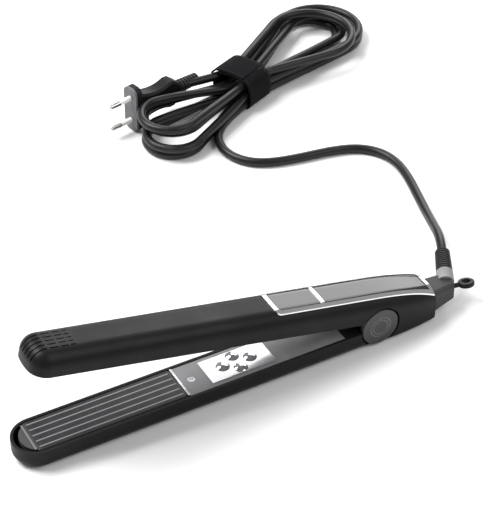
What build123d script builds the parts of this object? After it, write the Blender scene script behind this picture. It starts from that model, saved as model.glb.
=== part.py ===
"""Flat iron (hair straightener) with its mains lead, rebuilt as separate pieces.

Frame: +X from the tips to the tail, +Y across, +Z up, millimetres. The origin is under the middle
of the iron, on the surface it lies on. The lower arm lies flat and the upper arm stands open.

Two working frames are used, both with x = 0 and z = 0 where the hinge line crosses the face of the
lower plate. Lower-arm pieces are drawn where they lie. Pieces of the upper arm and the tail are
drawn with the iron shut, and are then swung open about the hinge pin.
"""

from build123d import *
import math
import os

os.makedirs("parts", exist_ok=True)

# ---------------------------------------------------------------- driving dimensions
OPEN_ANGLE = 13.4        # angle between the arms at the open stop
TIP_REACH = 241.0        # hinge line to the tips
TAIL_REACH = 77.7        # hinge line to the end of the hanging eye
ARM_HALF = 15.5          # half the width of both arms
LOWER_DEPTH = 14.2       # face of the lower plate down to the underside
WALL = 1.8               # wall of the moulded shells
PLATE_GAP = 0.4          # between the two plates when the iron is shut
PIVOT_Z = PLATE_GAP / 2  # height of the hinge pin over the lower plate's face

PLATE_START = -229.5     # tip end of the plates
PLATE_LENGTH = 96.0
PLATE_HALF = 13.0
PLATE_THICK = 3.5
HEATER_THICK = 2.5
STRIPE_PITCH = 5.0
STRIPE_WIDTH = 0.8
STRIPE_DEPTH = 0.3

LOWER_ROUND = 6.5        # rounding along the underside of the lower arm
LIP = -0.3               # rim of the lower shell
TOP_ROUND = 9.8          # rounding along the top of the upper arm
NOSE_SETBACK = 4.6       # the blunt nose of the upper arm ends this much short of the lower tip
NOSE_CORNER = 10.5
NOSE_FRONT = 40.0
TOP_SLOPE = 1.35         # the upper arm gets deeper towards the hinge
TOP_AT_BEND = 21.0       # height of the top where it starts to curve down to the tail
BEND_START = -5.0
BEND_RADIUS = 300.0
LIP_SLOPE = 0.6          # rim of the upper shell, shut
LIP_AT_HINGE = 3.8
TAPER_START = 12.0       # from here the tail gets narrower
TAPER_RADIUS = 178.0
TAIL_END = 43.0          # rear face of the tail, with the arm open
TAIL_BOTTOM_SLOPE = 13.0
TAIL_ROUND = 4.0

CAP_RADIUS = 12.8        # hinge cover discs
CAP_SPACE = 13.9         # round clearance in the shells for them
CAP_INNER = 12.4
CAP_OUTER = 15.6
PIN_RADIUS = 2.5
PIN_CLEARANCE = 0.05
DRUM_RADIUS = 11.5
DRUM_HALF = 9.2
CHEEK_INNER = 9.5
CHEEK_OUTER = 12.2

COVER_START = -131.5     # inner cover of the lower arm
COVER_END = -24.2
COVER_TOP = -0.9
SCREW_AT = -124.6
SCREW_HEAD = 2.4
PANEL_START = -115.1     # polished panel with the buttons
PANEL_END = -71.6
PANEL_HALF = 10.3
PANEL_TOP = -0.3
BUTTON_CENTRE = -93.6
BUTTON_RADIUS = 4.1
BUTTON_ALONG = 9.4       # from the middle of the four to the front and rear buttons
BUTTON_ACROSS = 5.7
BUTTON_CLEARANCE = 0.25

FRAME_START = -78.5      # bright frame on the upper shell
FRAME_HALF = 11.2
FRAME_BAND = 2.5
FRAME_CORNER = 4.0
FRAME_PROUD = 0.7
FRAME_SINK = 0.9
DIVIDER_AT = -44.0
PANEL_PROUD = 0.2

AXIS_Z = -2.0            # axis of the cord swivel
SPIGOT_RADIUS = 6.0
SWIVEL_CLEARANCE = 0.3
BLOCK_START = 43.5
BLOCK_END = 60.8
EYE_CENTRE = (72.3, -3.6, -1.6)
EYE_OUTER = 5.4
EYE_HOLE = 3.0
EYE_THICK = 3.2
EYE_ROLL = -14.0

CORD_DIAMETER = 6.4
CORD_Z = CORD_DIAMETER / 2 + 0.1  # height of the lead's middle where it lies on the surface
RELIEF_BASE = (60.6, 3.7, 2.0)
RELIEF_DIRECTION = Vector(0.48, 0.87, 0.10).normalized()
COLLAR_RADIUS = 5.6
COLLAR_SUNK = 4.0        # how deep the collar is let into the block
COLLAR_LENGTH = 4.6
RELIEF_LENGTH = 18.6
RELIEF_GAP = 0.6         # the relief turns past the end of the lead

# ---------------------------------------------------------------- frames
HINGE_X = (TIP_REACH - TAIL_REACH) / 2
DRAW = Pos(HINGE_X, 0, LOWER_DEPTH)
SWING = Pos(0, 0, PIVOT_Z) * Rot(0, OPEN_ANGLE, 0) * Pos(0, 0, -PIVOT_Z)
PLATE_MIDDLE = PLATE_START + PLATE_LENGTH / 2
TIP_CENTRE = -TIP_REACH + ARM_HALF
FAR = 400.0              # longer than anything here, for cutting blocks


def lying(shape):
    """Place a piece of the lower arm, or one drawn with the iron open."""
    return DRAW * shape


def opened(shape):
    """Swing a piece drawn shut up with the upper arm, and place it."""
    return DRAW * SWING * shape


def box(low, high):
    """Block between two corners."""
    size = [b - a for a, b in zip(low, high)]
    middle = [(a + b) / 2 for a, b in zip(low, high)]
    return Pos(*middle) * Box(*size)


def across(radius, y_low, y_high, x=0.0, z=PIVOT_Z):
    """Cylinder lying across the iron, by default on the hinge line."""
    return Pos(x, (y_low + y_high) / 2, z) * Rot(90, 0, 0) * Cylinder(radius, y_high - y_low)


def below(x, z, slope):
    """Everything under a plane through (x, z) that rises towards +X at a slope in degrees."""
    return Pos(x, 0, z) * Rot(0, -slope, 0) * Pos(0, 0, -FAR / 2) * Box(2 * FAR, FAR, FAR)


def behind(x):
    """Everything behind an upright plane across the open tail, in the shut frame."""
    return SWING.inverse() * Pos(x + FAR / 2, 0, 0) * Box(FAR, FAR, FAR)


def stadium(start, end, half, low, high):
    """Upright prism with a half-round front end and a square rear end."""
    centre = start + half
    plan = Pos(centre, 0) * Circle(half)
    plan += Pos((centre + end) / 2, 0) * Rectangle(end - centre, 2 * half)
    return Pos(0, 0, low) * extrude(plan, high - low)


# ---------------------------------------------------------------- outer forms
def lower_form(grow, top=6.0):
    """Solid form of the lower arm, grown on every side by the given amount."""
    half = ARM_HALF + grow
    bottom = -LOWER_DEPTH - grow
    form = stadium(-TIP_REACH - grow, 0, half, bottom, top)
    rims = form.edges().group_by(Axis.Z)[0].sort_by(Axis.X)[:-1]
    return fillet(rims, LOWER_ROUND + grow)


def upper_nose(grow):
    """Plan points round one half of the blunt nose: a corner arc and half of the wide front arc."""
    side = ARM_HALF - NOSE_CORNER
    apart = NOSE_FRONT - NOSE_CORNER
    behind_corner = math.sqrt(apart ** 2 - side ** 2)
    tip = -TIP_REACH + NOSE_SETBACK
    middle = tip + NOSE_FRONT - behind_corner
    corner = NOSE_CORNER + grow
    join = math.atan2(side, -behind_corner)
    points = []
    for angle in (math.pi / 2, (math.pi / 2 + join) / 2, join):
        points.append((middle + corner * math.cos(angle), side + corner * math.sin(angle)))
    points.append((tip - grow, 0.0))
    return points


def upper_form(grow, rear_grow=None):
    """Solid form of the upper arm and tail, shut, grown on every side by the given amount.

    The rear face can be grown by an amount of its own.
    """
    slope = math.radians(TOP_SLOPE)
    normal = (-math.sin(slope), math.cos(slope))
    middle = (BEND_START - normal[0] * BEND_RADIUS, TOP_AT_BEND - normal[1] * BEND_RADIUS)
    radius = BEND_RADIUS + grow
    bend = (middle[0] + normal[0] * radius, middle[1] + normal[1] * radius)
    front = (-TIP_REACH - 20, bend[1] - (bend[0] + TIP_REACH + 20) * math.tan(slope))
    angles = [math.radians(a) for a in (86.0, 78.0)]
    on_arc = [(middle[0] + radius * math.cos(a), middle[1] + radius * math.sin(a)) for a in angles]
    depth = -30.0
    outline = [
        Line(front, bend),
        ThreePointArc(bend, on_arc[0], on_arc[1]),
        Line(on_arc[1], (on_arc[1][0], depth)),
        Line((on_arc[1][0], depth), (front[0], depth)),
        Line((front[0], depth), front),
    ]
    side = Plane.XZ * make_face(outline)
    side = extrude(side, FAR / 4, both=True)

    half = ARM_HALF + grow
    turn = math.radians(13.0)
    swing = TAPER_RADIUS + grow
    ends = []
    for angle in (turn / 2, turn):
        ends.append((TAPER_START + swing * math.sin(angle), half - swing * (1 - math.cos(angle))))
    near = [(x, -y) for x, y in ends]
    nose = upper_nose(grow)
    near_nose = [(x, -y) for x, y in nose]
    plan = make_face([
        Line(nose[0], (TAPER_START, half)),
        ThreePointArc((TAPER_START, half), ends[0], ends[1]),
        Line(ends[1], near[1]),
        ThreePointArc(near[1], near[0], (TAPER_START, -half)),
        Line((TAPER_START, -half), near_nose[0]),
        ThreePointArc(near_nose[0], near_nose[1], near_nose[2]),
        ThreePointArc(near_nose[2], nose[3], nose[2]),
        ThreePointArc(nose[2], nose[1], nose[0]),
    ])
    form = side & (Pos(0, 0, depth) * extrude(plan, 3 * -depth))
    tops = [f for f in form.faces() if f.normal_at().Z > 0.9]
    rims = [e for f in tops for e in f.edges()]
    rims = [e for e in rims if abs(e.center().Y) > 6 or e.center().X < TIP_CENTRE]
    form = fillet(rims, TOP_ROUND + grow)

    form -= below(0.5, -LOWER_DEPTH - grow, TAIL_BOTTOM_SLOPE)
    edges = [e for e in form.edges() if e.center().Z < 0 and abs(e.center().Y) > ARM_HALF - 4]
    edges = [e for e in edges if e.center().X > 0 and abs(e.tangent_at(0.5).X) > 0.8]
    form = fillet(edges, TAIL_ROUND + max(grow, -2))
    return form - behind(TAIL_END + (grow if rear_grow is None else rear_grow))


def lip_cut(rise=0.0):
    """Everything under the rim of the upper shell, in front of the hinge."""
    return below(0, LIP_AT_HINGE + rise, LIP_SLOPE) & box((-FAR, -50, -FAR), (0, 50, FAR / 2))


# ---------------------------------------------------------------- lower arm
def lower_shell():
    """Moulded tray with a round tip, a solid link and the drum that turns on the hinge pin."""
    shell = lower_form(0) - box((-FAR, -50, LIP), (FAR, 50, 50))
    cavity = lower_form(-WALL) & box((-FAR, -50, -50), (-24, 50, 50))
    shell -= cavity
    shell -= box((-6, -50, -50), (50, 50, 50))
    for side in (-1, 1):
        low, high = sorted((side * (DRUM_HALF + 0.1), side * 40))
        shell -= across(CAP_SPACE, low, high)
    link = box((-24, -DRUM_HALF, -LOWER_DEPTH), (-4, DRUM_HALF, -3.0))
    drum = across(DRUM_RADIUS, -DRUM_HALF, DRUM_HALF)
    shell += link + drum
    shell -= across(PIN_RADIUS + PIN_CLEARANCE, -20, 20)
    return shell - across(6.5, -6, 6)


def tip_insert():
    """Crescent that fills the tip between the rim and the front bar."""
    seat = stadium(PLATE_START - 6.4, PLATE_START - 1.6, PLATE_HALF, -4.0, -0.7)
    seat &= lower_form(-WALL)
    return seat & box((-FAR, -50, -50), (PLATE_START - 1.7, 50, 50))


def front_bar(top):
    """Bright bar across the tip end of a plate."""
    half = PLATE_HALF - 1.8
    return box((PLATE_START - 1.6, -half, top - 3.0), (PLATE_START - 0.3, half, top))


def rear_trim(top):
    """Bright strip across the hinge end of a plate."""
    end = PLATE_START + PLATE_LENGTH
    return box((end + 0.4, -PLATE_HALF, top - 3.0), (end + 1.9, PLATE_HALF, top))


def plate(face, side):
    """Coated plate with its shallow stripe grooves; side is +1 if its body is above its face."""
    low, high = sorted((face, face + side * PLATE_THICK))
    start, end = PLATE_START, PLATE_START + PLATE_LENGTH
    body = box((start, -PLATE_HALF, low), (end, PLATE_HALF, high))
    body = fillet(body.edges().filter_by(Axis.Z), 1.5)
    edges = body.edges().filter_by(Axis.X)
    picked = [e for e in edges if abs(e.center().Z - face) < 0.1]
    return fillet(picked, 0.8) - stripes(face, side)


def stripes(face, side):
    """Five bright lines let into the face of a plate."""
    low, high = sorted((face, face + side * STRIPE_DEPTH))
    start, end = PLATE_START + 1.5, PLATE_START + PLATE_LENGTH - 1.5
    lines = []
    for n in range(-2, 3):
        y = n * STRIPE_PITCH
        lines.append(box((start, y - STRIPE_WIDTH / 2, low), (end, y + STRIPE_WIDTH / 2, high)))
    return Compound(lines)


def heater(face, side):
    """Ceramic heating element on the back of a plate."""
    low, high = sorted((face + side * PLATE_THICK, face + side * (PLATE_THICK + HEATER_THICK)))
    middle = PLATE_MIDDLE
    return box((middle - 33, -6, low), (middle + 33, 6, high))


def cushions(face, side, room):
    """Two silicone blocks that carry a plate, shaped to the inside of their shell."""
    back = face + side * (PLATE_THICK + HEATER_THICK)
    low, high = sorted((back, back + side * 20))
    blocks = []
    for x in (PLATE_MIDDLE - 24, PLATE_MIDDLE + 24):
        blocks.append(box((x - 7, -5, low), (x + 7, 5, high)) & room)
    return Compound(blocks)


def button_places():
    """Name and place of the four buttons, in a diamond."""
    return {
        "front_button": (BUTTON_CENTRE - BUTTON_ALONG, 0.0),
        "rear_button": (BUTTON_CENTRE + BUTTON_ALONG, 0.0),
        "near_button": (BUTTON_CENTRE, -BUTTON_ACROSS),
        "far_button": (BUTTON_CENTRE, BUTTON_ACROSS),
    }


def button(place):
    """Domed button with a stem through the panel and a foot below it."""
    x, y = place
    dome_radius = 7.0
    crown = 1.5
    middle = PANEL_TOP + crown - dome_radius
    head = Pos(x, y, middle) * Sphere(dome_radius)
    head &= Pos(x, y, PANEL_TOP + 0.35) * Cylinder(BUTTON_RADIUS, 2.5)
    stem = Pos(x, y, -3.6) * Cylinder(BUTTON_RADIUS, 5.2)
    foot = Pos(x, y, -6.2) * Cylinder(1.2, 1.8)
    return head + stem + foot


def button_holes(radius, low, high):
    """Round openings for the four buttons."""
    holes = []
    for x, y in button_places().values():
        holes.append(Pos(x, y, (low + high) / 2) * Cylinder(radius, high - low))
    return holes


def lower_cover():
    """Inner cover of the lower arm behind the plate, with the seat of the button panel."""
    room = lower_form(-WALL)
    cover = box((COVER_START, -13.4, -6.0), (COVER_END, 13.4, COVER_TOP)) & room
    cover -= box((COVER_START + 1.6, -12.0, -50), (COVER_END - 8, 12.0, COVER_TOP - 1.4))
    cover -= box((PANEL_START, -PANEL_HALF, -1.9), (PANEL_END, PANEL_HALF, 5))
    for hole in button_holes(BUTTON_RADIUS + BUTTON_CLEARANCE, -20, 5):
        cover -= hole
    cover -= Pos(SCREW_AT, 0, -3) * Cylinder(SCREW_HEAD + 0.1, 10)
    cover -= across(CAP_SPACE + 0.4, -20, 20)
    return cover


def button_panel():
    """Polished panel round the buttons."""
    panel = box((PANEL_START, -PANEL_HALF, -1.9), (PANEL_END, PANEL_HALF, PANEL_TOP))
    for hole in button_holes(BUTTON_RADIUS + BUTTON_CLEARANCE, -20, 5):
        panel -= hole
    return panel


def cover_screw():
    """Cross-recessed screw that holds the inner cover down to a boss."""
    x = SCREW_AT
    head = Pos(x, 0, COVER_TOP - 0.8) * Cylinder(SCREW_HEAD, 1.2)
    shank = Pos(x, 0, COVER_TOP - 4.9) * Cylinder(SCREW_HEAD / 2, 7.0)
    recess = box((x - 1.6, -0.3, COVER_TOP - 0.9), (x + 1.6, 0.3, 2))
    recess += box((x - 0.3, -1.6, COVER_TOP - 0.9), (x + 0.3, 1.6, 2))
    return head + shank - recess


def button_board():
    """Circuit board with a switch under each button, and the control chip."""
    board = box((PANEL_START + 2, -9.5, -10.4), (PANEL_END + 14, 9.5, -8.9))
    for x, y in button_places().values():
        board += box((x - 2.4, y - 2.4, -8.9), (x + 2.4, y + 2.4, -7.8))
    board += box((PANEL_END + 2, -4, -8.9), (PANEL_END + 10, 4, -7.4))
    return board


def board_posts():
    """Four posts on the floor of the lower shell that carry the board."""
    posts = []
    for x in (PANEL_START + 5, PANEL_END + 11):
        for y in (-7.5, 7.5):
            posts.append(box((x - 1.5, y - 1.5, -LOWER_DEPTH + WALL - 0.2), (x + 1.5, y + 1.5, -10.4)))
    return posts


# ---------------------------------------------------------------- upper arm and tail
def frame_outline(inset):
    """Plan of the bright frame, brought in by inset on every side."""
    start, end = FRAME_START + inset, 80.0
    half = FRAME_HALF - inset
    plan = Pos((start + end) / 2, 0) * RectangleRounded(end - start, 2 * half, FRAME_CORNER - inset / 2)
    return extrude(Pos(0, 0, 5) * plan, 30)


def frame_space():
    """Prism that holds the frame and both gloss panels, ending just short of the rear face."""
    return frame_outline(0) - behind(TAIL_END - 0.5)


def frame_openings():
    """The two openings in the frame, one for each gloss panel."""
    inner = frame_outline(FRAME_BAND) - behind(TAIL_END - 0.5 - FRAME_BAND)
    divider = box((DIVIDER_AT - 1.1, -50, -50), (DIVIDER_AT + 1.1, 50, 50))
    return inner - divider


def upper_shell(outer, inner, seat):
    """Moulded shell of the upper arm and tail, with the hinge cheeks, vents and swivel hole."""
    shell = outer - inner
    cheek = across(DRUM_RADIUS + 0.5, CHEEK_INNER, CHEEK_OUTER)
    cheek += box((-11, CHEEK_INNER, 0), (11, CHEEK_OUTER, 30))
    cheek += mirror(cheek, Plane.XZ)
    shell -= lip_cut()
    for side in (-1, 1):
        low, high = sorted((side * CHEEK_OUTER, side * 40))
        shell -= across(CAP_SPACE, low, high)
    shell -= across(CAP_SPACE, -CHEEK_OUTER - 1, CHEEK_OUTER + 1) & box((-50, -50, -50), (50, 50, 0))
    shell += cheek & outer
    shell -= across(PIN_RADIUS, -20, 20)
    shell -= seat
    hole = Rot(0, 90, 0) * Cylinder(SPIGOT_RADIUS + SWIVEL_CLEARANCE, 12)
    shell -= SWING.inverse() * (Pos(TAIL_END, 0, AXIS_Z) * hole)
    for slot in vent_slots():
        shell -= slot
    return shell


def vent_slots():
    """Five rows of four slots over the top of the tip; the first of each row runs down the nose."""
    spans = [(-260.0, -226.4), (-224.8, -219.4), (-217.8, -213.2), (-211.6, -208.6)]
    slots = []
    for row in range(-2, 3):
        y = row * 3.35
        for start, end in spans:
            low = 8.0 if start < -TIP_REACH else 10.0
            slots.append(box((start, y - 0.45, low), (end, y + 0.45, 30)))
    return slots


def upper_cover(inner):
    """Inner cover of the upper arm, from the plate to the hinge."""
    cover = inner & (lip_cut(1.9) - lip_cut(0.3))
    return cover & box((PLATE_START + PLATE_LENGTH + 2.2, -50, -5), (-17, 50, 20))


def upper_tip_insert(inner):
    """Crescent that fills the nose of the upper arm in front of its front bar."""
    insert = inner & (lip_cut(1.9) - lip_cut(0.3))
    return insert & box((-FAR, -50, -5), (PLATE_START - 1.7, 50, 20))


def hinge_cap(side):
    """Disc that covers the end of the hinge pin, with a raised ring."""
    low, high = sorted((side * CAP_INNER, side * CAP_OUTER))
    cap = across(CAP_RADIUS, low, high)
    outer_edges = [e for e in cap.edges() if abs(abs(e.center().Y) - CAP_OUTER) < 0.05 and e.length > 40]
    cap = fillet(outer_edges, 0.6)
    low, high = sorted((side * 10.0, side * (CAP_INNER + 1.5)))
    return cap - across(PIN_RADIUS, low, high)


def hinge_spring():
    """Torsion spring in the drum that pushes the arms open."""
    wire = 0.7
    coil = 4.6
    turns = []
    for n in range(-3, 4):
        turns.append(Pos(0, n * 1.55, PIVOT_Z) * Rot(90, 0, 0) * Torus(coil, wire))
    return Compound(turns)


# ---------------------------------------------------------------- swivel and hanging eye
def along(point, direction, radius, start, length, end_radius=None):
    """Cylinder or cone on a line through a point."""
    place = Plane(origin=Vector(*point) + direction * start, z_dir=direction)
    if end_radius is None:
        body = Cylinder(radius, length, align=(Align.CENTER, Align.CENTER, Align.MIN))
    else:
        body = Cone(radius, end_radius, length, align=(Align.CENTER, Align.CENTER, Align.MIN))
    return place * body


def swivel_block():
    """Turning block at the tail that the lead and the hanging eye are fixed to."""
    side = make_face(Polyline(
        (BLOCK_START, AXIS_Z - 9.6), (BLOCK_END, AXIS_Z - 6.2), (BLOCK_END + 4, AXIS_Z + 6.6),
        (BLOCK_START, AXIS_Z + 7.4), close=True))
    block = extrude(Plane.XZ * side, 30, both=True)
    plan = make_face(Polyline(
        (BLOCK_START, -9.6), (BLOCK_END, -7.4), (BLOCK_END + 2.8, 7.4), (BLOCK_START, 8.0), close=True))
    block &= Pos(0, 0, -40) * extrude(plan, 80)
    long_edges = [e for e in block.edges() if abs(e.tangent_at(0.5).X) > 0.8]
    block = fillet(long_edges, 3.0)
    ends = [e for e in block.edges() if e.center().X > BLOCK_END - 2 and abs(e.tangent_at(0.5).X) < 0.6]
    block = fillet(ends, 1.2)
    x_direction = Vector(1, 0, 0)
    centre = (BLOCK_START, 0, AXIS_Z)
    block += along(centre, x_direction, SPIGOT_RADIUS, -6.5, 8.0)
    block -= along(centre, x_direction, 3.4, -10, 16)
    block -= along(RELIEF_BASE, RELIEF_DIRECTION, COLLAR_RADIUS, -COLLAR_SUNK, 40)
    return block


def swivel_clip():
    """Ring on the spigot inside the tail that keeps the block in."""
    ring = along((0, 0, AXIS_Z), Vector(1, 0, 0), 8.6, TAIL_END - WALL - 2.6, 1.6)
    return ring - along((0, 0, AXIS_Z), Vector(1, 0, 0), SPIGOT_RADIUS, 0, 60)


def relief_collar():
    """Smooth collar at the root of the strain relief, let into the block."""
    collar = along(RELIEF_BASE, RELIEF_DIRECTION, COLLAR_RADIUS, -COLLAR_SUNK, COLLAR_SUNK + COLLAR_LENGTH)
    return collar - along(RELIEF_BASE, RELIEF_DIRECTION, CORD_DIAMETER / 2, -20, 60)


def strain_relief():
    """Ribbed, tapered sleeve that guards the lead where it leaves the block."""
    root, tip = 5.5, 4.9
    start, length = COLLAR_LENGTH, RELIEF_LENGTH
    sleeve = along(RELIEF_BASE, RELIEF_DIRECTION, root, start, length, tip)
    ribs = 10
    pitch = length / (ribs + 0.5)
    for n in range(ribs):
        at = start + (n + 0.7) * pitch
        groove = along(RELIEF_BASE, RELIEF_DIRECTION, 8, at, pitch * 0.42)
        core = root - 1.0 + (tip - root) * (at - start) / length
        groove -= along(RELIEF_BASE, RELIEF_DIRECTION, core, at - 1, pitch + 2)
        sleeve -= groove
    return sleeve - along(RELIEF_BASE, RELIEF_DIRECTION, CORD_DIAMETER / 2, -20, 60)


def hang_loop():
    """Hanging eye moulded on a short neck at the end of the block."""
    x, y, z = EYE_CENTRE
    eye = Pos(x, y, z) * Rot(EYE_ROLL, 0, 0)
    root = Vector(BLOCK_END - 0.6, -1.2, AXIS_Z + 0.2)
    reach = Vector(x, y, z) - root
    neck = along(tuple(root), reach.normalized(), 1.6, 0, reach.length - EYE_HOLE - 0.4)
    ring = eye * Cylinder(EYE_OUTER, EYE_THICK)
    ring = fillet(ring.edges(), 0.9)
    body = ring + neck - eye * Cylinder(EYE_HOLE, 3 * EYE_THICK)
    body -= swivel_block() + relief_collar()
    return body.solids().sort_by(SortBy.VOLUME)[-1]


# ---------------------------------------------------------------- lead, hank and plug
CORD_START = Vector(*RELIEF_BASE) + RELIEF_DIRECTION * (COLLAR_LENGTH + RELIEF_LENGTH + RELIEF_GAP)
FLOOR = CORD_Z - LOWER_DEPTH

LEAD_ROUTE = [
    tuple(CORD_START),
    tuple(CORD_START + RELIEF_DIRECTION * 14),
    (90.2, 63.0, -3.8),
    (98.4, 83.5, -9.4),
    (105.0, 104.0, FLOOR),
    (110.2, 122.5, FLOOR),
    (113.0, 139.5, FLOOR),
    (111.3, 153.2, FLOOR),
    (104.4, 164.6, FLOOR),
    (93.4, 172.4, FLOOR),
    (75.0, 177.2, FLOOR),
    (54.0, 180.0, FLOOR),
    (36.4, 184.0, FLOOR),
    (23.4, 190.6, FLOOR),
    (14.8, 202.2, FLOOR),
    (12.2, 216.2, FLOOR),
    (15.8, 229.8, FLOOR),
    (24.8, 240.8, FLOOR),
    (35.2, 248.4, FLOOR),
]


def tube_radii(points):
    """Radius of the arc at each inner point: 0.45 of the shorter run over tan(half the turn)."""
    radii = []
    for before, here, after in zip(points, points[1:], points[2:]):
        first, second = Vector(*here) - Vector(*before), Vector(*after) - Vector(*here)
        half_turn = math.radians(first.get_angle(second)) / 2
        radii.append(0.45 * min(first.length, second.length) / math.tan(half_turn))
    return radii


def tube(points, diameter):
    """Round tube along straight runs joined by tangent arcs."""
    radii = tube_radii(points)
    print("arc radii", [round(r, 1) for r in radii], "smallest", round(min(radii), 1))
    path = FilletPolyline(*points, radius=radii)
    start = Plane(origin=path @ 0, z_dir=path % 0)
    body = sweep(start * Circle(diameter / 2), path=path)
    expected = math.pi * (diameter / 2) ** 2 * path.length
    print("tube length", round(path.length, 1), "volume", round(body.volume), "expected", round(expected))
    return body


HANK_TIP = (-38.0, 228.0)
HANK_HEADING = 24.0      # from the front tip of the hank, in degrees from +X
HANK_HEIGHT = 26.0
WAIST_START, WAIST_END = 92.0, 122.0
WAIST_LOW, WAIST_HIGH = -15.0, 19.0
STRAP_WIDTH = 25.0
STRAP_THICK = 1.6
HANK_PLACE = Pos(HANK_TIP[0], HANK_TIP[1], -LOWER_DEPTH) * Rot(0, 0, HANK_HEADING)

PLUG_FACE = (-32.0, 273.6)
PLUG_HEADING = 12.8
PLUG_HALF_HEIGHT = 17.8
PLUG_BODY = 43.0
PLUG_RELIEF = 19.0
PIN_SPACING = 18.6
PIN_LENGTH = 19.0
PLUG_PIN_RADIUS = 2.0
SLEEVE_WALL = 0.4
FACE_THICK = 1.6
PLUG_HEIGHT = PLUG_HALF_HEIGHT + 0.2 - LOWER_DEPTH
PLUG_PLACE = Pos(PLUG_FACE[0], PLUG_FACE[1], PLUG_HEIGHT) * Rot(0, 0, PLUG_HEADING)


def between(start, end, radius):
    """Round rod from one point to another."""
    reach = Vector(*end) - Vector(*start)
    return along(start, reach.normalized(), radius, 0, reach.length)


def hank_form():
    """Outer shape of the tied hank: two lobes, a gathered waist, and the end that runs to the plug."""
    front = [(0, -8), (16, -20), (50, -23), (WAIST_START, WAIST_LOW), (WAIST_START, WAIST_HIGH),
             (46, 26), (20, 26), (2, 12)]
    rear = [(WAIST_END, WAIST_LOW), (165, -37), (205, -36), (236, -20), (251, 2), (250, 26),
            (234, 40), (205, 38), (160, 28), (WAIST_END, WAIST_HIGH)]
    form = extrude(make_face(Polyline(*front, close=True)), HANK_HEIGHT)
    form += extrude(make_face(Polyline(*rear, close=True)), HANK_HEIGHT)
    low = STRAP_THICK + 0.1
    form += box((WAIST_START, WAIST_LOW, low), (WAIST_END, WAIST_HIGH, HANK_HEIGHT))
    form = HANK_PLACE * form
    radius = CORD_DIAMETER / 2
    leave = PLUG_BODY + PLUG_RELIEF
    points = [(leave, 0, 0), (leave + 4, 0, 0), (leave + 8, -14, -3)]
    places = [tuple((PLUG_PLACE * Pos(*point)).position) for point in points]
    form += between(places[0], places[1], radius)
    form += Pos(*places[1]) * Sphere(radius)
    return form + between(places[1], places[2], radius)


def hank_strap():
    """Hook-and-loop band round the waist of the hank."""
    middle = (WAIST_START + WAIST_END) / 2
    start, end = middle - STRAP_WIDTH / 2, middle + STRAP_WIDTH / 2
    low, high = WAIST_LOW - STRAP_THICK, WAIST_HIGH + STRAP_THICK
    band = box((start, low, 0.1), (end, high, HANK_HEIGHT + STRAP_THICK))
    band = fillet(band.edges().filter_by(Axis.X), 1.5)
    band -= box((0, WAIST_LOW, STRAP_THICK + 0.1), (FAR, WAIST_HIGH, HANK_HEIGHT))
    return HANK_PLACE * band


def plug_body():
    """Flat two-pin plug body standing on its edge: a flange, a waisted grip and a hump before the lead."""
    flange = box((FACE_THICK, -7.0, -PLUG_HALF_HEIGHT), (6.0, 7.0, PLUG_HALF_HEIGHT))
    flange = fillet(flange.edges().filter_by(Axis.X), 5.0)
    grip = make_face([
        Polyline((6.0, 11.5), (10.0, 11.0)),
        ThreePointArc((10.0, 11.0), (22.0, 8.6), (33.0, 10.8)),
        Polyline((33.0, 10.8), (37.0, 10.8), (PLUG_BODY, 6.2)),
        Polyline((PLUG_BODY, 6.2), (PLUG_BODY, -6.2), (37.0, -10.8), (33.0, -10.8)),
        ThreePointArc((33.0, -10.8), (22.0, -8.6), (10.0, -11.0)),
        Polyline((10.0, -11.0), (6.0, -11.5), (6.0, 11.5)),
    ])
    grip = extrude(Plane.XZ * grip, 5.8, both=True)
    rims = [e for e in grip.edges() if abs(abs(e.center().Y) - 5.8) < 0.1]
    rims = [e for e in rims if 7 < e.center().X < PLUG_BODY - 1]
    grip = chamfer(rims, 1.5)
    return PLUG_PLACE * (flange + grip)


def plug_face():
    """Flat face plate of the plug that holds the pins."""
    plate_half = PLUG_HALF_HEIGHT
    face = box((0, -7.0, -plate_half), (FACE_THICK, 7.0, plate_half))
    face = fillet(face.edges().filter_by(Axis.X), 5.0)
    for side in (-1, 1):
        hole = Rot(0, 90, 0) * Cylinder(PLUG_PIN_RADIUS - SLEEVE_WALL, 10)
        face -= Pos(0, 0, side * PIN_SPACING / 2) * hole
    return PLUG_PLACE * face


def plug_pins():
    """The two round pins, thinner under their sleeves."""
    pins = []
    for side in (-1, 1):
        place = Pos(0, 0, side * PIN_SPACING / 2) * Rot(0, -90, 0)
        base = Pos(0, 0, PIN_LENGTH / 4) * Cylinder(PLUG_PIN_RADIUS - SLEEVE_WALL, PIN_LENGTH / 2)
        base += Pos(0, 0, -FACE_THICK / 2) * Cylinder(PLUG_PIN_RADIUS - SLEEVE_WALL, FACE_THICK)
        tip = Pos(0, 0, PIN_LENGTH * 0.75) * Cylinder(PLUG_PIN_RADIUS, PIN_LENGTH / 2)
        tip = fillet(tip.edges().sort_by(Axis.Z)[-1], 1.0)
        pins.append(PLUG_PLACE * place * (base + tip))
    return Compound(pins)


def plug_sleeves():
    """Insulating sleeves on the roots of the pins."""
    sleeves = []
    for side in (-1, 1):
        place = Pos(0, 0, side * PIN_SPACING / 2) * Rot(0, -90, 0) * Pos(0, 0, PIN_LENGTH / 4)
        ring = Cylinder(PLUG_PIN_RADIUS, PIN_LENGTH / 2)
        ring -= Cylinder(PLUG_PIN_RADIUS - SLEEVE_WALL, PIN_LENGTH)
        sleeves.append(PLUG_PLACE * place * ring)
    return Compound(sleeves)


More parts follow.
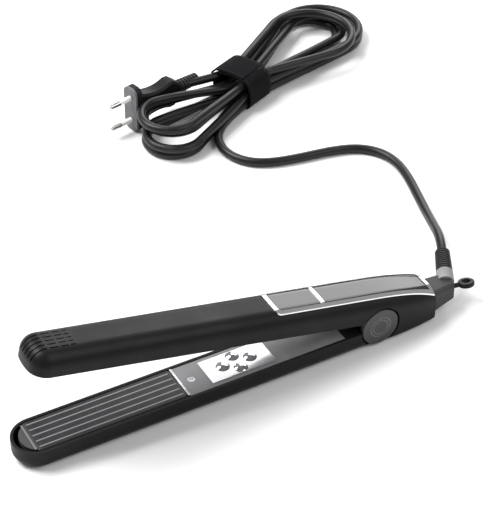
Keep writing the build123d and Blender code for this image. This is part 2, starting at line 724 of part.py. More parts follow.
def plug_relief():
    """Ribbed sleeve where the lead leaves the plug."""
    root, tip = 5.4, 4.4
    axis = Vector(1, 0, 0)
    sleeve = along((0, 0, 0), axis, root, PLUG_BODY, PLUG_RELIEF, tip)
    ribs = 7
    pitch = PLUG_RELIEF / (ribs + 0.5)
    for n in range(ribs):
        at = PLUG_BODY + (n + 0.6) * pitch
        groove = along((0, 0, 0), axis, 8, at, pitch * 0.5)
        sleeve -= groove - along((0, 0, 0), axis, 3.6, at - 1, pitch + 2)
    return PLUG_PLACE * sleeve


# ---------------------------------------------------------------- build
def build():
    """Make every piece, write it to its own STEP file and print its box."""
    outer = upper_form(0)
    inner = upper_form(-WALL)
    proud = upper_form(FRAME_PROUD)
    glossy = upper_form(PANEL_PROUD)
    sunk = upper_form(-FRAME_SINK, rear_grow=5)
    lower_room = lower_form(-WALL)

    seat = frame_space() - sunk
    openings = frame_openings()
    bright = (frame_space() - openings) & proud
    gloss = (openings & glossy) - sunk
    gloss_panels = gloss.solids().sort_by(Axis.X)

    upper_face = PLATE_GAP
    parts = {
        "lower_shell": lying(lower_shell() + board_posts()),
        "lower_tip_insert": lying(tip_insert()),
        "lower_front_bar": lying(front_bar(0.0)),
        "lower_rear_trim": lying(rear_trim(0.0)),
        "lower_plate": lying(plate(0.0, -1)),
        "lower_plate_stripes": lying(stripes(0.0, -1)),
        "lower_heater": lying(heater(0.0, -1)),
        "lower_cushions": lying(cushions(0.0, -1, lower_room)),
        "lower_inner_cover": lying(lower_cover()),
        "cover_screw": lying(cover_screw()),
        "button_panel": lying(button_panel()),
        "button_board": lying(button_board()),
        "upper_shell": opened(upper_shell(outer, inner, seat)),
        "chrome_frame": opened(bright - sunk),
        "front_gloss_panel": opened(gloss_panels[0]),
        "rear_gloss_panel": opened(gloss_panels[1]),
        "upper_inner_cover": opened(upper_cover(inner)),
        "upper_tip_insert": opened(upper_tip_insert(inner)),
        "upper_front_bar": opened(Pos(0, 0, 3.0) * front_bar(upper_face)),
        "upper_rear_trim": opened(Pos(0, 0, 3.0) * rear_trim(upper_face)),
        "upper_plate": opened(plate(upper_face, 1)),
        "upper_plate_stripes": opened(stripes(upper_face, 1)),
        "upper_heater": opened(heater(upper_face, 1)),
        "upper_cushions": opened(cushions(upper_face, 1, inner)),
        "hinge_pin": opened(across(PIN_RADIUS, -CAP_INNER - 1.5, CAP_INNER + 1.5)),
        "near_hinge_cap": opened(hinge_cap(-1)),
        "far_hinge_cap": opened(hinge_cap(1)),
        "hinge_spring": opened(hinge_spring()),
        "swivel_block": lying(swivel_block()),
        "swivel_clip": lying(swivel_clip()),
        "relief_collar": lying(relief_collar()),
        "strain_relief": lying(strain_relief()),
        "hang_loop": lying(hang_loop()),
        "mains_cord": lying(tube(LEAD_ROUTE, CORD_DIAMETER) - hank_form()),
        "cord_hank": lying(hank_form() - hank_strap()),
        "hank_strap": lying(hank_strap()),
        "plug_body": lying(plug_body()),
        "plug_face": lying(plug_face()),
        "plug_pins": lying(plug_pins()),
        "plug_pin_sleeves": lying(plug_sleeves()),
        "plug_relief": lying(plug_relief()),
    }
    for name, place in button_places().items():
        parts[name] = lying(button(place))
    for name, shape in parts.items():
        export_step(shape, f"parts/{name}.step")


build()
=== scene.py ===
"""Flat iron lying open with its lead tied in a hank, dressed for the shelf of reusable parts.

Metres, in the frame of the CAD model: +X from the tips to the tail, +Y across, +Z up, with the
origin under the middle of the iron on the surface it lies on.
"""

import math

import bpy
import numpy as np
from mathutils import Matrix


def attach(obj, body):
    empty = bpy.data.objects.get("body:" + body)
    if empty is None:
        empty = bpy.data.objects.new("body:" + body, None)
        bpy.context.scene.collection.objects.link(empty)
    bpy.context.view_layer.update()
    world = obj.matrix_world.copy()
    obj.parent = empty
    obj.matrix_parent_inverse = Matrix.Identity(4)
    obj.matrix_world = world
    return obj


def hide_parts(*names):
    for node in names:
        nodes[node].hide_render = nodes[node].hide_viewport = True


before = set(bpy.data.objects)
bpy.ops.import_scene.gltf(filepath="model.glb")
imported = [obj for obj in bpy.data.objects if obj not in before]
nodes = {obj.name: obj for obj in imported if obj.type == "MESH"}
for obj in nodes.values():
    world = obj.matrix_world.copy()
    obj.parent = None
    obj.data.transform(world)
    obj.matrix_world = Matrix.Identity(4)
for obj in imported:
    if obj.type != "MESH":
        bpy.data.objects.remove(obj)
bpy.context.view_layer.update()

# ---------------------------------------------------------------- camera
# A long lens looks down at the iron from in front of its near side, with the tips at the left.
camera_data = bpy.data.cameras.new("camera")
camera_data.lens = 127.62
camera_data.sensor_width = 36.0
camera = bpy.data.objects.new("camera", camera_data)
camera.location = (-0.39899, -0.71870, 0.74230)
camera.rotation_euler = (math.radians(51.696), 0.0, math.radians(-28.885))
bpy.context.scene.collection.objects.link(camera)
bpy.context.scene.camera = camera


# ---------------------------------------------------------------- mains lead
# Round two-core lead with a smooth black PVC sheath. It leaves the swivel through the strain
# relief, falls to the table and ends in a hank of five turns that a strap gathers at its waist.
class Value:
    """A shader socket that takes + - * and %, and gives the socket of the Math node it adds."""

    def __init__(self, paint, socket):
        self.paint = paint
        self.socket = socket

    def _math(self, operation, first, second):
        return self.paint.node("Math", {"operation": operation}, {0: first, 1: second})

    def __add__(self, other):
        return self._math("ADD", self, other)

    __radd__ = __add__

    def __sub__(self, other):
        return self._math("SUBTRACT", self, other)

    def __rsub__(self, other):
        return self._math("SUBTRACT", other, self)

    def __mul__(self, other):
        return self._math("MULTIPLY", self, other)

    __rmul__ = __mul__

    def __mod__(self, other):
        return self._math("FLOORED_MODULO", self, other)


class Finish:
    """A material with one principled shader, and the nodes that vary it over the surface."""

    def __init__(self, name, colour, roughness=0.5, metallic=0.0, coat=0.0, coat_roughness=0.1, level=0.5,
                 sheen=0.0, sheen_roughness=0.5):
        self.material = bpy.data.materials.new(name)
        self.material.use_nodes = True
        self.material.diffuse_color = (*colour, 1.0)
        self.tree = self.material.node_tree
        self.shader = self.tree.nodes["Principled BSDF"]
        constants = {
            "Base Color": (*colour, 1.0), "Roughness": roughness, "Metallic": metallic, "Coat Weight": coat,
            "Coat Roughness": coat_roughness, "Specular IOR Level": level, "Sheen Weight": sheen,
            "Sheen Roughness": sheen_roughness}
        for socket, value in constants.items():
            self.shader.inputs[socket].default_value = value

    def node(self, kind, settings=None, inputs=None, output=0):
        """Add a node of a type, set its properties, then fill or link its sockets."""
        made = self.tree.nodes.new("ShaderNode" + kind)
        for key, value in (settings or {}).items():
            setattr(made, key, value)
        for key, value in (inputs or {}).items():
            if isinstance(value, Value):
                self.tree.links.new(value.socket, made.inputs[key])
            else:
                made.inputs[key].default_value = value
        return Value(self, made.outputs[output])

    def place(self):
        """Object coordinates."""
        return self.node("TexCoord", output="Object")

    def axis(self, letter):
        """One of the Object coordinates, as a number in metres."""
        return self.node("SeparateXYZ", inputs={0: self.place()}, output=letter)

    def noise(self, scale, detail=3.0, roughness=0.55, stretch=(1.0, 1.0, 1.0)):
        """Noise from 0 to 1 on Object coordinates; stretch multiplies the frequency on each axis."""
        where = self.node("Mapping", inputs={"Vector": self.place(), "Scale": stretch})
        inputs = {"Vector": where, "Scale": scale, "Detail": detail, "Roughness": roughness}
        return self.node("TexNoise", inputs=inputs, output="Fac")

    def ramp(self, value, low, high):
        """0 under low, 1 over high, smooth between them."""
        settings = {"interpolation_type": "SMOOTHSTEP"}
        return self.node("MapRange", settings, {"Value": value, "From Min": low, "From Max": high})

    def mix(self, factor, first, second):
        """Colour that goes from first to second as factor goes from 0 to 1."""
        settings = {"data_type": "RGBA"}
        first = first if isinstance(first, Value) else (*first, 1.0)
        second = second if isinstance(second, Value) else (*second, 1.0)
        return self.node("Mix", settings, {0: factor, 6: first, 7: second}, output=2)

    def paint(self, **links):
        """Link values to the shader's sockets, named with underscores for spaces."""
        for key, value in links.items():
            self.tree.links.new(value.socket, self.shader.inputs[key.replace("_", " ")])
        return self

    def bump(self, height, distance, strength=1.0, under=None):
        """Raise the surface by height times a distance in metres, over an earlier bump if one is given."""
        inputs = {"Height": height, "Distance": distance, "Strength": strength}
        if under is not None:
            inputs["Normal"] = under
        return self.node("Bump", inputs=inputs)


def sheath_finish(name, colour, roughness):
    """Smooth dark PVC or rubber: faint dust in patches, fine drag marks and a little unevenness."""
    finish = Finish(name, colour, roughness, level=0.3)
    patches = finish.noise(60.0, 4.0)
    dust = finish.ramp(patches, 0.52, 0.75)
    lighter = tuple(min(1.0, 1.7 * c + 0.003) for c in colour)
    finish.paint(Base_Color=finish.mix(dust, colour, lighter))
    finish.paint(Roughness=roughness + 0.16 * dust + 0.06 * finish.noise(900.0, 2.0))
    finish.paint(Normal=finish.bump(finish.noise(700.0, 3.0), 0.00008, 0.6))
    return finish.material


CORD_D = 0.0064
HINGE = np.array([0.08165, 0.0, 0.0142])
REST_GAP = 0.0001
FLOOR = CORD_D / 2 + REST_GAP - HINGE[2]
RELIEF_AXIS = np.array([0.48, 0.87, 0.10]) / np.linalg.norm([0.48, 0.87, 0.10])
RELIEF_BASE = np.array([0.0606, 0.0037, 0.0020])
RELIEF_END = 0.0238
CORD_START = RELIEF_BASE + RELIEF_AXIS * RELIEF_END
# the hank's own axes start at its front tip and run to its rear; along them, sizes are in mm
HANK_TIP = np.array([-0.038, 0.228])
HANK_HEADING = math.radians(24.0)
STRAP_AT = 107.0
GATE = 12.0

lead_route = np.array([
    CORD_START,
    CORD_START + RELIEF_AXIS * 0.014,
    (0.0902, 0.0630, -0.0038),
    (0.0984, 0.0835, -0.0094),
    (0.1050, 0.1040, FLOOR),
    (0.1102, 0.1225, FLOOR),
    (0.1130, 0.1395, FLOOR),
    (0.1113, 0.1532, FLOOR),
    (0.1044, 0.1646, FLOOR),
    (0.0934, 0.1724, FLOOR),
    (0.0750, 0.1772, FLOOR),
    (0.0540, 0.1800, FLOOR),
    (0.0364, 0.1840, FLOOR),
    (0.0234, 0.1906, FLOOR),
    (0.0148, 0.2022, FLOOR),
    (0.0122, 0.2162, FLOOR),
    (0.0158, 0.2298, FLOOR),
    (0.0248, 0.2408, FLOOR),
    (0.0352, 0.2484, FLOOR),
]) + HINGE


def from_hank(points):
    """Points given along the hank, across it and above the table, in mm, as points in the frame in metres."""
    along, side, high = np.asarray(points, dtype=float).T / 1000.0
    c, s = math.cos(HANK_HEADING), math.sin(HANK_HEADING)
    x = HINGE[0] + HANK_TIP[0] + along * c - side * s
    y = HANK_TIP[1] + along * s + side * c
    return np.stack([x, y, high], axis=1)


def hank_loop(start, end, centre, radius, high, step=0.5):
    """One open loop of the hank, from one strand under the strap to another.

    Two straight runs leave the strap and meet a circle on its tangents, as a springy lead does.
    The control points on the circle are halfway between the places where the polygon touches it,
    each turned by about step radians and 1 / cos of half of that outside it, and those on the
    runs are as far apart. Height goes from the strands' to the loop's own by a smoothstep of the
    share of the way out. Start and end are (across, up), and centre is (along, across). The
    strands stay parallel for GATE mm past the middle of the strap.
    """
    outward = math.copysign(1.0, centre[0] - STRAP_AT)
    gates = [np.array([GATE, strand[0]]) for strand in (start, end)]
    middle = np.array([abs(centre[0] - STRAP_AT), centre[1]])
    touch = []
    for side, gate in zip((-1.0, 1.0), gates):
        away = gate - middle
        bearing = math.atan2(away[1], away[0]) % (2 * math.pi)
        spread = math.acos(radius / math.hypot(*away))
        touch.append(bearing + spread - 2 * math.pi if side < 0 else bearing - spread)
    count = round((touch[1] - touch[0]) / step)
    half = (touch[1] - touch[0]) / count / 2
    turn = touch[0] + half * (2 * np.arange(count) + 1)
    arc = middle + radius / math.cos(half) * np.column_stack([np.cos(turn), np.sin(turn)])
    gap = radius * math.tan(half)
    runs = []
    for angle, gate in zip(touch, gates):
        meet = middle + radius * np.array([math.cos(angle), math.sin(angle)])
        length = np.linalg.norm(meet - gate)
        pieces = max(1, round((length - gap) / (2 * gap)))
        share = (1 - gap / length) * np.arange(pieces + 1)[:, None] / pieces
        runs.append(gate + (meet - gate) * share)
    flat = np.vstack([runs[0], arc, runs[1][::-1]])
    way = np.clip(flat[:, 0] / middle[0], 0.0, 1.0)
    smooth = way * way * (3 - 2 * way)
    level = np.linspace(start[1], end[1], len(flat))
    up = level * (1 - smooth) + high * smooth
    return np.column_stack([STRAP_AT + outward * flat[:, 0], flat[:, 1], up])


# strands that run to the rear under the strap, and those that run to the front: (across, up)
rearward = [(-10.5, 5.0), (-3.5, 5.2), (-10.5, 11.8), (-3.5, 12.0), (-7.5, 18.6)]
forward = [(10.2, 5.0), (3.4, 5.4), (10.2, 11.8), (3.4, 12.2)]
plug_strand = (13.0, 18.8)
# each loop's centre (along, across), radius and height above the table
rear_loops = [((210, 8), 34.5, 3.4), ((206, 10), 20.5, 3.6), ((208, 3), 31.5, 9.9), ((206, 4), 20.5, 10.2),
              ((188, -3), 32, 17.0)]
front_loops = [((30.5, 4), 20.5, 3.4), ((29, 2), 20.5, 9.9), ((37, 10), 20.5, 16.3), ((31, 8), 20.5, 22.7)]

hank_points = [np.array([(75.2, -11.1, 3.4), (85.0, -10.6, 3.8), (96.0, -10.5, 4.5)])]
for turn, (strand, back) in enumerate(zip(rearward, forward + [plug_strand])):
    hank_points.append(np.array([(STRAP_AT, *strand)]))
    hank_points.append(hank_loop(strand, back, *rear_loops[turn]))
    hank_points.append(np.array([(STRAP_AT, *back)]))
    if turn < len(front_loops):
        hank_points.append(hank_loop(rearward[turn + 1], back, *front_loops[turn])[::-1])
hank_points.append(np.array([(97.0, 15.6, 18.5), (87.0, 20.9, 18.2), (77.5, 26.4, 18.0), (67.5, 30.6, 18.0)]))

route = np.vstack([lead_route[:-1], from_hank(np.vstack(hank_points))])


def spline_curve(name, points, diameter):
    """Round tube on one open NURBS spline whose control points are the route's."""
    curve = bpy.data.curves.new(name, "CURVE")
    curve.dimensions = "3D"
    curve.resolution_u = 8
    curve.bevel_depth = diameter / 2
    curve.bevel_resolution = 5
    curve.use_fill_caps = True
    spline = curve.splines.new("NURBS")
    spline.points.add(len(points) - 1)
    spline.points.foreach_set("co", np.column_stack([points, np.ones(len(points))]).ravel())
    spline.order_u = 3
    spline.use_endpoint_u = True
    piece = bpy.data.objects.new(name, curve)
    bpy.context.scene.collection.objects.link(piece)
    return piece


lead = spline_curve("lead", route, CORD_D)
lead.data.materials.append(sheath_finish("lead_sheath", (0.0075, 0.0075, 0.008), 0.34))


def spline_length(points):
    """Length of the quadratic B-spline through the route, summed over short chords.

    Between the middles of two runs the curve is the parabola a(1-t)^2 + 2b t(1-t) + c t^2.
    """
    middles = (points[:-1] + points[1:]) / 2
    middles[0], middles[-1] = points[0], points[-1]
    t = np.linspace(0.0, 1.0, 33)[None, :, None]
    a, b, c = middles[:-1, None, :], points[1:-1, None, :], middles[1:, None, :]
    curve = a * (1 - t) ** 2 + 2 * b * t * (1 - t) + c * t ** 2
    return float(np.linalg.norm(np.diff(curve, axis=1), axis=2).sum())


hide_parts("mains_cord", "cord_hank")
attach(lead, "upper_housing")
print("lead length", round(spline_length(route), 3))


# ---------------------------------------------------------------- hank strap
# Hook-and-loop band, 25 mm of woven black nylon with stitched edges, wound round the waist of
# the hank and pressed onto itself; its free end stands open at the left.
def grid_mesh(name, points):
    """Smooth-shaded mesh on a grid of points of shape (u, v, 3)."""
    nu, nv = points.shape[:2]
    index = np.arange(nu * nv).reshape(nu, nv)
    quads = np.stack([index[:-1, :-1], index[1:, :-1], index[1:, 1:], index[:-1, 1:]], axis=-1)
    mesh = bpy.data.meshes.new(name)
    mesh.from_pydata(points.reshape(-1, 3).tolist(), [], quads.reshape(-1, 4).tolist())
    mesh.polygons.foreach_set("use_smooth", np.ones(len(mesh.polygons), dtype=bool))
    mesh.update()
    piece = bpy.data.objects.new(name, mesh)
    bpy.context.scene.collection.objects.link(piece)
    return piece


def strap_section(count, passes=14):
    """Path of the band's middle round the waist, as (across, up) in mm.

    A rounded outline goes once round, then a free tail folds back over its top and lifts off at
    the left. The corners are joined by straight runs, and each pass sets every point but the
    ends to half itself and a quarter of each neighbour.
    """
    corners = np.array([
        (-9.0, 24.4), (-14.2, 22.0), (-16.2, 16.0), (-16.2, 7.0), (-14.6, 2.2), (-9.0, 0.9), (2.0, 0.9),
        (11.5, 0.9), (16.6, 3.2), (18.4, 9.0), (18.2, 16.5), (15.6, 21.8), (10.4, 24.0), (2.0, 24.6),
        (-6.0, 25.2), (-9.5, 25.6), (-4.0, 26.3), (3.0, 26.4), (9.0, 26.2), (14.5, 25.4), (18.8, 23.0),
        (20.2, 20.2)])
    keep = np.linspace(0, len(corners) - 1, count)
    step = np.arange(len(corners))
    path = np.stack([np.interp(keep, step, corners[:, k]) for k in (0, 1)], axis=1)
    for _ in range(passes):
        path[1:-1] = 0.25 * path[:-2] + 0.5 * path[1:-1] + 0.25 * path[2:]
    return path


STRAP_HALF = 12.5
STRAP_CROWN = 0.25
CROWN_FROM = 12
section = strap_section(150)
across_strap = np.linspace(-1.0, 1.0, 13)
u_grid, v_grid = np.meshgrid(np.arange(len(section)), across_strap, indexing="ij")
crown = STRAP_CROWN * (1 - v_grid ** 2)
strap_points = np.stack([
    STRAP_AT + STRAP_HALF * v_grid,
    section[u_grid, 0],
    section[u_grid, 1] + crown * (section[u_grid, 1] > CROWN_FROM)], axis=-1)
strap = grid_mesh("strap", from_hank(strap_points.reshape(-1, 3)).reshape(strap_points.shape))
uv = strap.data.uv_layers.new(name="weave")
run = np.concatenate([[0.0], np.cumsum(np.linalg.norm(np.diff(section, axis=0), axis=1))]) / 1000.0
loops = np.zeros(len(strap.data.loops), dtype=np.int32)
strap.data.loops.foreach_get("vertex_index", loops)
u_index, v_index = np.divmod(loops, len(across_strap))
uv_values = np.stack([run[u_index], across_strap[v_index] * STRAP_HALF / 1000.0], axis=1)
uv.data.foreach_set("uv", uv_values.astype(np.float32).ravel())
thick = strap.modifiers.new("thick", "SOLIDIFY")
thick.thickness = 0.0010
thick.offset = 0.0

strap_black = (0.004, 0.004, 0.005)
webbing = Finish("strap_webbing", strap_black, 0.85, level=0.1, sheen=0.02, sheen_roughness=0.4)
place = webbing.node("UVMap", {"uv_map": "weave"})
wave = {"Vector": place, "Scale": 520.0, "Distortion": 1.5}
ribs = webbing.node("TexWave", {"bands_direction": "X"}, wave, output="Fac")
cross = webbing.node("TexWave", {"bands_direction": "Y"}, wave, output="Fac")
side_place = webbing.node("SeparateXYZ", inputs={0: place}, output="Y")
from_middle = webbing.node("Math", {"operation": "ABSOLUTE"}, {0: side_place})
seam_near = webbing.ramp(from_middle, 0.0100, 0.0104)
seam_far = webbing.ramp(from_middle, 0.0108, 0.0112)
along_seam = webbing.node("SeparateXYZ", inputs={0: place}, output="X")
dashes = webbing.ramp(along_seam % 0.0022, 0.0006, 0.0009)
stitches = seam_near * (1 - seam_far) * dashes
fuzz = webbing.noise(1600.0, 3.0)
lint = webbing.ramp(webbing.noise(420.0, 4.0), 0.66, 0.78)
webbing.paint(Base_Color=webbing.mix(0.35 * lint + 0.3 * stitches, strap_black, (0.05, 0.05, 0.053)))
weave_height = webbing.bump(0.5 * ribs + 0.5 * cross + 0.5 * fuzz, 0.00018, 0.8)
webbing.paint(Normal=webbing.bump(stitches, 0.0004, 0.9, under=weave_height))
strap.data.materials.append(webbing.material)
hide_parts("hank_strap")
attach(strap, "upper_housing")

spline_length(route)


# ---------------------------------------------------------------- shells of the arms
# Glass-filled nylon mouldings with a black soft-touch coat, one to each arm: a fine even grain,
# a broad soft sheen, and a slightly polished, paler line where hands and hair rub the edges.
def dress(names, material):
    """Give CAD nodes one material in all their slots."""
    for name in names:
        mesh = nodes[name].data
        mesh.materials.clear()
        mesh.materials.append(material)


def worn_edges(finish, radius):
    """1 along outside edges: where a rounded normal leaves the true one."""
    rounded = finish.node("Bevel", {"samples": 4}, {"Radius": radius})
    flat = finish.node("NewGeometry", output="Normal")
    agree = finish.node("VectorMath", {"operation": "DOT_PRODUCT"}, {0: rounded, 1: flat}, output="Value")
    return finish.ramp(1 - agree, 0.02, 0.25)


def moulded_finish(name, colour, roughness, grain=0.00004, grain_scale=2600.0):
    """Moulded plastic: fine spark-eroded grain, soft patches of handling, and rubbed edges."""
    finish = Finish(name, colour, roughness, level=0.15)
    handled = finish.ramp(finish.noise(26.0, 4.0), 0.40, 0.70)
    edges = worn_edges(finish, 0.0006)
    lighter = tuple(min(1.0, 1.35 * c + 0.001) for c in colour)
    polished = tuple(min(1.0, 1.9 * c + 0.006) for c in colour)
    body = finish.mix(handled, colour, lighter)
    finish.paint(Base_Color=finish.mix(0.6 * edges, body, polished))
    finish.paint(Roughness=roughness - 0.06 * handled + 0.05 * finish.noise(180.0, 3.0) - 0.10 * edges)
    finish.paint(Normal=finish.bump(finish.noise(grain_scale, 2.0), grain, 0.7))
    return finish.material


shell_black = moulded_finish("soft_touch_black", (0.0060, 0.0060, 0.0068), 0.42)
dress(["lower_shell", "upper_shell"], shell_black)


# ---------------------------------------------------------------- tip crescents
# Heat-proof satin inserts of a grey nylon, pressed into the shells to close the tips in front of
# the plates.
dress(["lower_tip_insert", "upper_tip_insert"],
      moulded_finish("tip_insert_grey", (0.050, 0.050, 0.052), 0.42))


# ---------------------------------------------------------------- bright bars, strips and frame
# Chromed plastic trims, clipped into the shells: mirror bright, with hairline polishing scratches
# and a faint haze from handling.
def bright_finish(name, colour, roughness, haze=0.12):
    """Plated or polished metal with hairline scratches and faint handling marks."""
    finish = Finish(name, colour, roughness, metallic=1.0)
    marks = finish.ramp(finish.noise(55.0, 5.0), 0.45, 0.72)
    hairlines = finish.noise(1500.0, 2.0, stretch=(0.05, 1.0, 1.0))
    duller = tuple(0.86 * c for c in colour)
    finish.paint(Base_Color=finish.mix(0.7 * marks, colour, duller))
    finish.paint(Roughness=roughness + haze * marks * 0.6 + 0.05 * hairlines)
    finish.paint(Normal=finish.bump(hairlines, 0.00001, 0.4))
    return finish.material


chrome = bright_finish("trim_chrome", (0.86, 0.86, 0.875), 0.08)
dress(["chrome_frame", "lower_front_bar", "upper_front_bar", "lower_rear_trim", "upper_rear_trim"], chrome)


# ---------------------------------------------------------------- plates
# Aluminium plates with a dark ceramic coat, each with five bare metal lines let in. They float on
# red silicone cushions, with a fired alumina heater clamped to the back.
def coated_plate():
    """Dark glazed coat: tiny sparkles, lengthwise rub marks from hair, satin gloss."""
    colour = (0.016, 0.016, 0.017)
    finish = Finish("plate_coat", colour, 0.30, metallic=0.2, coat=0.10, coat_roughness=0.18, level=0.35)
    rubbed = finish.noise(240.0, 4.0, stretch=(1.0, 0.06, 1.0))
    flakes = finish.ramp(finish.noise(5200.0, 1.0), 0.70, 0.80)
    tone = finish.mix(rubbed, (0.012, 0.012, 0.013), (0.026, 0.026, 0.028))
    finish.paint(Base_Color=finish.mix(0.25 * flakes, tone, (0.20, 0.20, 0.21)))
    finish.paint(Roughness=0.24 + 0.16 * rubbed)
    finish.paint(Normal=finish.bump(rubbed, 0.00002, 0.5))
    return finish.material


dress(["lower_plate", "upper_plate"], coated_plate())
dress(["lower_plate_stripes", "upper_plate_stripes"], bright_finish("plate_lines", (0.26, 0.26, 0.27), 0.42))


def fired_finish():
    """Fired alumina heater: chalky, with specks."""
    finish = Finish("heater_alumina", (0.78, 0.76, 0.70), 0.7)
    specks = finish.ramp(finish.noise(1500.0, 2.0), 0.60, 0.70)
    finish.paint(Base_Color=finish.mix(0.5 * specks, (0.78, 0.76, 0.70), (0.45, 0.42, 0.36)))
    finish.paint(Normal=finish.bump(finish.noise(900.0, 3.0), 0.00005, 0.6))
    return finish.material


dress(["lower_heater", "upper_heater"], fired_finish())
dress(["lower_cushions", "upper_cushions"], sheath_finish("silicone_red", (0.42, 0.07, 0.04), 0.55))

# ---------------------------------------------------------------- inner covers and screw
# Satin grey mouldings behind the plates; one steel screw holds the lower one to its boss. The
# hinge pin, its spring and the swivel's clip are of the same bare steel.
dress(["lower_inner_cover", "upper_inner_cover"],
      moulded_finish("cover_satin_grey", (0.20, 0.20, 0.205), 0.42, grain=0.00002))
steel = bright_finish("screw_steel", (0.52, 0.52, 0.54), 0.30, haze=0.25)
dress(["cover_screw", "hinge_pin", "hinge_spring", "swivel_clip"], steel)

# ---------------------------------------------------------------- button panel and buttons
# Polished metal-faced panel, snapped into the lower cover, with four small chromed domes that
# press switches on the board under it.
dress(["button_panel"], bright_finish("panel_mirror", (0.66, 0.66, 0.67), 0.16, haze=0.2))
dress(["front_button", "rear_button", "near_button", "far_button"],
      bright_finish("button_chrome", (0.84, 0.84, 0.86), 0.07))


def board_finish():
    """Green solder resist over copper tracks."""
    finish = Finish("board_green", (0.02, 0.12, 0.05), 0.3, coat=0.5)
    inputs = {"Vector": finish.place(), "Scale": 300.0, "Mortar Size": 0.03}
    tracks = finish.node("TexBrick", inputs=inputs, output="Fac")
    finish.paint(Base_Color=finish.mix(tracks, (0.02, 0.12, 0.05), (0.05, 0.22, 0.09)))
    finish.paint(Normal=finish.bump(tracks, 0.00004, 0.5))
    return finish.material


dress(["button_board"], board_finish())


# ---------------------------------------------------------------- gloss panels
# Dark grey high-gloss panels of lacquered plastic, glued into the bright frame on the upper arm,
# with swirl marks from wiping.
def lacquer_finish(name, colour, roughness, metallic):
    """Deep gloss over a dark colour, with wipe marks in the coat and fine dust."""
    finish = Finish(name, colour, roughness, metallic=metallic, coat=0.35, coat_roughness=0.08, level=0.4)
    swirls = finish.noise(130.0, 6.0, 0.7)
    dust = finish.ramp(finish.noise(2400.0, 1.0), 0.74, 0.80)
    lighter = tuple(1.25 * c for c in colour)
    finish.paint(Base_Color=finish.mix(swirls, colour, lighter))
    finish.paint(Roughness=roughness + 0.10 * swirls + 0.2 * dust)
    finish.paint(Normal=finish.bump(swirls, 0.00001, 0.3))
    return finish.material


dress(["front_gloss_panel", "rear_gloss_panel"],
      lacquer_finish("panel_gloss_grey", (0.020, 0.020, 0.021), 0.16, 0.3))


# ---------------------------------------------------------------- hinge caps
# Turned, satin anodised discs pressed over the ends of the hinge pin, with fine rings round the
# centre.
CAP_CENTRE = (0.08165, 0.0144)


def turned_cap():
    """Concentric rings round the hinge line: groove lines at a few radii over a fine turned texture."""
    colour = (0.050, 0.050, 0.052)
    finish = Finish("cap_turned_grey", colour, 0.34, metallic=0.4)
    x = finish.axis("X") - CAP_CENTRE[0]
    z = finish.axis("Z") - CAP_CENTRE[1]
    radius = finish.node("Math", {"operation": "SQRT"}, {0: x * x + z * z})
    fine = finish.node("Math", {"operation": "SINE"}, {0: radius * 21000.0})
    ring_one = finish.ramp(radius, 0.0046, 0.0049) * (1 - finish.ramp(radius, 0.0053, 0.0056))
    ring_two = finish.ramp(radius, 0.0066, 0.0069) * (1 - finish.ramp(radius, 0.0073, 0.0076))
    rings = ring_one + ring_two
    marks = finish.ramp(finish.noise(90.0, 4.0), 0.45, 0.70)
    finish.paint(Base_Color=finish.mix(0.5 * rings + 0.10 * marks, colour, (0.22, 0.22, 0.225)))
    finish.paint(Roughness=0.34 + 0.10 * marks - 0.08 * rings)
    first = finish.bump(fine, 0.000006, 0.5)
    finish.paint(Normal=finish.bump(rings, 0.00025, 0.8, under=first))
    return finish.material


dress(["near_hinge_cap", "far_hinge_cap"], turned_cap())

# ---------------------------------------------------------------- swivel, relief and hanging eye
# The block is held in the tail by a clip and turns there. The ribbed relief is soft PVC on a paler
# collar; the hanging eye is nylon.
dress(["swivel_block"], moulded_finish("swivel_grey", (0.036, 0.036, 0.038), 0.46))
dress(["relief_collar"], moulded_finish("collar_grey", (0.24, 0.24, 0.245), 0.44))
dress(["strain_relief", "plug_relief"], sheath_finish("relief_rubber", (0.020, 0.020, 0.021), 0.46))
dress(["hang_loop"], moulded_finish("eye_black", (0.007, 0.007, 0.008), 0.36))


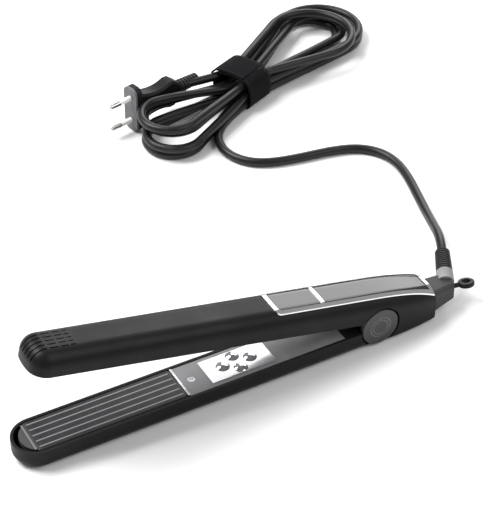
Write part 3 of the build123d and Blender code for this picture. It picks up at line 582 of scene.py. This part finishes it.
# ---------------------------------------------------------------- plug
# Flat two-pin plug moulded onto the lead in black, with a paler face plate; each pin is
# half sleeved in white nylon.
dress(["plug_body"],
      moulded_finish("plug_black", (0.008, 0.008, 0.009), 0.50, grain=0.00006, grain_scale=1800.0))
dress(["plug_face"], moulded_finish("plug_face_grey", (0.11, 0.11, 0.115), 0.5))
dress(["plug_pins"], bright_finish("pin_nickel", (0.66, 0.65, 0.62), 0.22))
dress(["plug_pin_sleeves"], moulded_finish("sleeve_white", (0.86, 0.86, 0.85), 0.40, grain=0.00001))

# ---------------------------------------------------------------- table, light and sky
# White seamless table under pale surroundings. A large soft key light stands behind at the left,
# a smaller one behind at the right draws the line along the top, and a weak one fills the front.
TABLE_HALF = 6.0
TABLE_TOP = -0.0002
floor_axis = np.linspace(-TABLE_HALF, TABLE_HALF, 3)
floor_x, floor_y = np.meshgrid(floor_axis, floor_axis, indexing="ij")
table = grid_mesh("table", np.stack([floor_x, floor_y, np.full_like(floor_x, TABLE_TOP)], axis=-1))
paper = Finish("table_white", (0.93, 0.93, 0.93), 0.75)
paper.paint(Roughness=0.70 + 0.1 * paper.noise(40.0, 3.0))
table.data.materials.append(paper.material)


def area_light(name, place, aim, size, power):
    """Soft square light at a place, turned to face a point."""
    data = bpy.data.lights.new(name, "AREA")
    data.size = size
    data.energy = power
    light = bpy.data.objects.new(name, data)
    light.location = place
    reach = np.array(aim) - np.array(place)
    level = math.hypot(reach[0], reach[1])
    light.rotation_euler = (math.atan2(level, -reach[2]), 0.0, math.atan2(reach[1], reach[0]) - math.pi / 2)
    bpy.context.scene.collection.objects.link(light)


area_light("key", (-0.8, 0.9, 1.6), (0.05, 0.1, 0.0), 1.2, 54.0)
area_light("rear", (1.05, 1.25, 0.80), (0.05, 0.0, 0.0), 1.05, 13.0)
area_light("fill", (0.9, -1.0, 1.4), (0.05, 0.1, 0.0), 1.2, 14.0)

world = bpy.data.worlds.new("surroundings")
world.use_nodes = True
sky = world.node_tree.nodes["Background"]
sky.inputs["Color"].default_value = (1.0, 1.0, 1.0, 1.0)
sky.inputs["Strength"].default_value = 0.32
bpy.context.scene.world = world
bpy.context.scene.view_settings.view_transform = "Standard"
